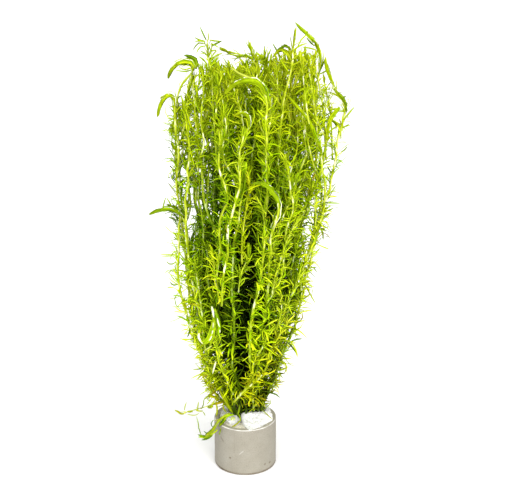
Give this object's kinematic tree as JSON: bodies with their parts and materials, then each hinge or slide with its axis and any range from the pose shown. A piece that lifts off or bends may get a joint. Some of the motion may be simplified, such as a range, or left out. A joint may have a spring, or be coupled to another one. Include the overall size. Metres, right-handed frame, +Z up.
{
  "type": "potted stream bogmoss",
  "caption": "Bunch of leafy stream bogmoss shoots standing in a small round ceramic pot, wedged in its mouth with white filter wool.",
  "frame": {"origin": "centre of the pot's flat underside", "axes": "+Z up along the pot's axis and the height of the bunch, -Y towards the front of the bunch as pictured, +X to its right"},
  "size_m": [0.0961, 0.0904, 0.2285],
  "materials": {
    "ceramic": "matte",
    "wool": "matte",
    "leafy_shoot": "satin",
    "pale_shoot": "satin"
  },
  "bodies": {
    "root": {"drooping_shoot": "leafy_shoot", "pot": "ceramic", "shoot_back_centre": "leafy_shoot", "shoot_back_far_left": "leafy_shoot", "shoot_back_far_right": "leafy_shoot", "shoot_back_left": "leafy_shoot", "shoot_back_low_left": "leafy_shoot", "shoot_back_low_right": "leafy_shoot", "shoot_back_right": "leafy_shoot", "shoot_back_side_right": "leafy_shoot", "shoot_centre_back_left": "leafy_shoot", "shoot_centre_back_right": "leafy_shoot", "shoot_centre_big_crook": "leafy_shoot", "shoot_centre_front": "leafy_shoot", "shoot_centre_small_crook": "leafy_shoot", "shoot_centre_yellow": "leafy_shoot", "shoot_front_crook": "leafy_shoot", "shoot_inner_left": "leafy_shoot", "shoot_inner_right": "leafy_shoot", "shoot_inner_tall": "leafy_shoot", "shoot_left_high_crook": "leafy_shoot", "shoot_left_inner": "leafy_shoot", "shoot_left_long": "leafy_shoot", "shoot_left_low_crook": "leafy_shoot", "shoot_left_side_crook": "leafy_shoot", "shoot_left_wavy": "leafy_shoot", "shoot_right_edge_arch": "leafy_shoot", "shoot_right_edge_low": "leafy_shoot", "shoot_right_front": "leafy_shoot", "shoot_right_long_bright": "leafy_shoot", "shoot_right_tall": "leafy_shoot", "shoot_tall_left": "leafy_shoot", "shoot_top_centre": "leafy_shoot", "shoot_top_crook": "leafy_shoot", "shoot_top_right_crook": "leafy_shoot", "side_shoot_left_hook": "leafy_shoot", "trailing_runner": "pale_shoot", "wool_wad_back": "wool", "wool_wad_front_left": "wool", "wool_wad_front_right": "wool"}
  },
  "joints": []
}
